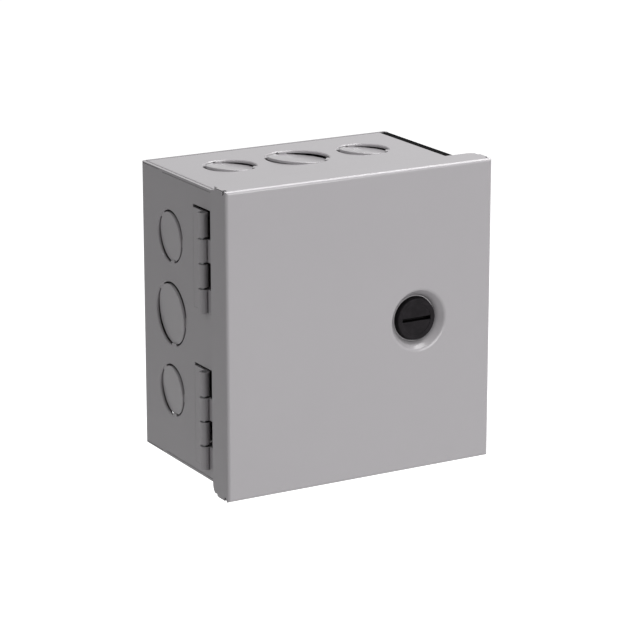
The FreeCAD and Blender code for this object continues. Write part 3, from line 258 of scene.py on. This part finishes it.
def thermoset(name, dark, light, smooth, rough):
    """Moulded phenolic or polyester: filler flecks, matte grain, rubbed corners."""
    s = Shader(name)
    cloud = s.step(s.noise(scale=70.0, detail=5.0), start=0.35, end=0.7)
    base = s.mix(cloud, solid(dark), solid(light))
    fleck = s.step(s.noise(scale=2400.0, detail=3.0), start=0.52, end=0.70)
    base = s.mix(s.spread(fleck, 0.0, 0.25), base, shade(light, 2.2))
    colour = s.worn(base, shade(light, 2.6), amount=0.3, radius=0.0005, sharp=0.80, flat=0.99)
    roughness = s.spread(s.noise(scale=150.0), smooth, rough)
    grain = s.bump(s.noise(scale=2200.0, detail=3.0), strength=0.15, distance=0.00005)
    return s.surface(colour, roughness, grain, specular=0.45)


def drawn_metal(name, tint, smooth, rough):
    """Extruded or rolled bar: draw lines along Z and light tarnish."""
    s = Shader(name)
    tarnish = s.step(s.noise(scale=90.0, detail=6.0), start=0.38, end=0.72)
    base = s.mix(tarnish, shade(tint, 0.80), shade(tint, 1.06))
    lines = s.noise(scale=2600.0, detail=3.0, coords=s.stretched(1.0, 1.0, 0.05))
    colour = s.mix(s.spread(lines, 0.0, 0.35), base, shade(tint, 0.72))
    roughness = s.spread(s.noise(scale=300.0), smooth, rough)
    return s.surface(colour, roughness, s.bump(lines, strength=0.15, distance=0.00003), metallic=1.0)


def sealant():
    """Nearly black bead along the top's right seam: painted shade, standing for the seam's deep shadow
    line; uneven surface.
    """
    s = Shader("seam_sealant")
    unevenness = s.noise(scale=240.0, detail=3.0)
    uneven_patches = s.step(unevenness, start=0.4, end=0.7)
    # painted shade: nearly black colour for the shadow line along the top's right seam
    colour = s.mix(uneven_patches, solid((0.002, 0.002, 0.0022)), solid((0.005, 0.005, 0.0055)))
    roughness = s.spread(unevenness, 0.80, 0.95)
    return s.surface(colour, roughness, s.bump(unevenness, strength=0.35, distance=0.0004), specular=0.05)


def card_stock():
    """Plain uncoated card with fibres."""
    s = Shader("card_stock")
    fibre = s.noise(scale=1800.0, detail=5.0, coords=s.stretched(1.0, 1.0, 0.3))
    pulp = s.step(fibre, start=0.4, end=0.65)
    colour = s.mix(pulp, solid((0.74, 0.72, 0.65)), solid((0.82, 0.81, 0.76)))
    roughness = s.spread(fibre, 0.80, 0.92)
    return s.surface(colour, roughness, s.bump(fibre, strength=0.2, distance=0.00004), specular=0.2)


def finishes():
    """Material for each of the record's material slots."""
    return {
        "paint": powder_coat(tint=(0.420, 0.404, 0.420)),
        "latch_black": black_nylon(),
        "zinc": zinc_plate("zinc_plate", tint=(0.60, 0.61, 0.62), smooth=0.22, rough=0.38),
        "bond_green": zinc_plate("green_screw", tint=(0.06, 0.34, 0.14), smooth=0.25, rough=0.40),
        "galvanised": galvanised(),
        "case_black": thermoset("breaker_case", dark=(0.018, 0.018, 0.019),
                                light=(0.030, 0.030, 0.032), smooth=0.45, rough=0.60),
        "handle_black": thermoset("breaker_handle", dark=(0.012, 0.012, 0.013),
                                  light=(0.020, 0.020, 0.022), smooth=0.30, rough=0.42),
        "base_dark": thermoset("base_moulding", dark=(0.045, 0.045, 0.050),
                               light=(0.070, 0.070, 0.075), smooth=0.50, rough=0.65),
        "insulator": thermoset("ivory_nylon", dark=(0.56, 0.53, 0.45),
                               light=(0.66, 0.63, 0.55), smooth=0.45, rough=0.55),
        "tinned": drawn_metal("tinned_bus", tint=(0.66, 0.67, 0.67), smooth=0.28, rough=0.42),
        "aluminium": drawn_metal("bar_aluminium", tint=(0.72, 0.73, 0.74), smooth=0.24, rough=0.40),
        "copper": drawn_metal("contact_copper", tint=(0.72, 0.40, 0.26), smooth=0.25, rough=0.40),
        # painted shade: the nearly black bead gives the shadow line along the top's right seam
        "sealant": sealant(),
        "card": card_stock(),
    }


def paint_nodes():
    """Give every CAD node the finish of its record's material slot."""
    ready = finishes()
    slot_of = {s["node"]: s["material_slot"] for s in frame["record"]["subparts"]}
    for name, piece in nodes.items():
        piece.data.materials.clear()
        piece.data.materials.append(ready[slot_of[name]])


# ---------------------------------------------------------------- camera, lamps, sky and floor
def front_centre():
    """Centre of the enclosure's front opening, in metres."""
    low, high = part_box("enclosure_wrapper")
    return Vector(((low.x + high.x) / 2, low.y, (low.z + high.z) / 2))


def view_axes(azimuth, elevation):
    """Right, up and backward directions of a camera at that angle round the object."""
    a = math.radians(azimuth)
    e = math.radians(elevation)
    back = Vector((math.sin(a) * math.cos(e), -math.cos(a) * math.cos(e), math.sin(e)))
    right = Vector((0, 0, 1)).cross(back).normalized()
    return right, back.cross(right), back


def add_camera():
    data = bpy.data.cameras.new("photo_camera")
    data.lens = LENS
    data.sensor_width = SENSOR_WIDTH
    camera = bpy.data.objects.new("photo_camera", data)
    bpy.context.scene.collection.objects.link(camera)
    right, up, back = view_axes(VIEW_AZIMUTH, VIEW_ELEVATION)
    camera.location = front_centre() + back * VIEW_DISTANCE + right * VIEW_RIGHT + up * VIEW_UP
    camera.rotation_euler = (-back).to_track_quat("-Z", "Y").to_euler()
    bpy.context.scene.camera = camera


def add_softbox(name, place, width, height, power):
    """Rectangular lamp at place, turned to LAMP_AIM, with its power in watts."""
    data = bpy.data.lights.new(name, "AREA")
    data.shape = "RECTANGLE"
    data.size = width
    data.size_y = height
    data.energy = power
    lamp = bpy.data.objects.new(name, data)
    bpy.context.scene.collection.objects.link(lamp)
    lamp.location = place
    lamp.rotation_euler = (Vector(LAMP_AIM) - Vector(place)).to_track_quat("-Z", "Y").to_euler()


def add_world():
    """White sky with its own strength for light, for reflections and for the camera."""
    world = bpy.data.worlds.new("studio")
    bpy.context.scene.world = world
    world.use_nodes = True
    tree = world.node_tree
    background = tree.nodes["Background"]
    background.inputs["Color"].default_value = solid((1.0, 1.0, 1.0))
    path = tree.nodes.new("ShaderNodeLightPath")
    unseen = tree.nodes.new("ShaderNodeMix")
    tree.links.new(path.outputs["Is Glossy Ray"], unseen.inputs[MIX_FACTOR])
    unseen.inputs[FLOAT_A].default_value = SKY_LIGHT
    unseen.inputs[FLOAT_B].default_value = SKY_REFLECTED
    strength = tree.nodes.new("ShaderNodeMix")
    tree.links.new(path.outputs["Is Camera Ray"], strength.inputs[MIX_FACTOR])
    tree.links.new(unseen.outputs[FLOAT_OUT], strength.inputs[FLOAT_A])
    strength.inputs[FLOAT_B].default_value = SKY_SEEN
    tree.links.new(strength.outputs[FLOAT_OUT], background.inputs["Strength"])


def floor_finish():
    """Pale matte floor that glows for the camera, so that it meets the white sky without a line."""
    s = Shader("pale_floor")
    tone = s.step(s.noise(scale=3.0, detail=3.0), start=0.3, end=0.7, low=FLOOR_DARK, high=FLOOR_LIGHT)
    s.surface(tone, 0.9, s.bump(s.noise(scale=400.0), strength=0.02, distance=0.0002), specular=0.1)
    seen = s.add("ShaderNodeLightPath").outputs["Is Camera Ray"]
    s.feed(s.principled.inputs["Emission Color"], solid((1.0, 1.0, 1.0)))
    s.feed(s.principled.inputs["Emission Strength"], s.times(seen, FLOOR_GLOW))
    return s.material


def add_floor():
    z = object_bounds()[0].z - FLOOR_DROP
    half = FLOOR_SIZE / 2
    mesh = bpy.data.meshes.new("floor")
    mesh.from_pydata([(-half, -half, z), (half, -half, z), (half, half, z), (-half, half, z)],
                     [], [(0, 1, 2, 3)])
    mesh.materials.append(floor_finish())
    floor = bpy.data.objects.new("floor", mesh)
    bpy.context.scene.collection.objects.link(floor)


# ---------------------------------------------------------------- the scene
bpy.context.scene.view_settings.view_transform = "Standard"
paint_nodes()
add_camera()
for softbox in SOFTBOXES:
    add_softbox(**softbox)
add_world()
add_floor()
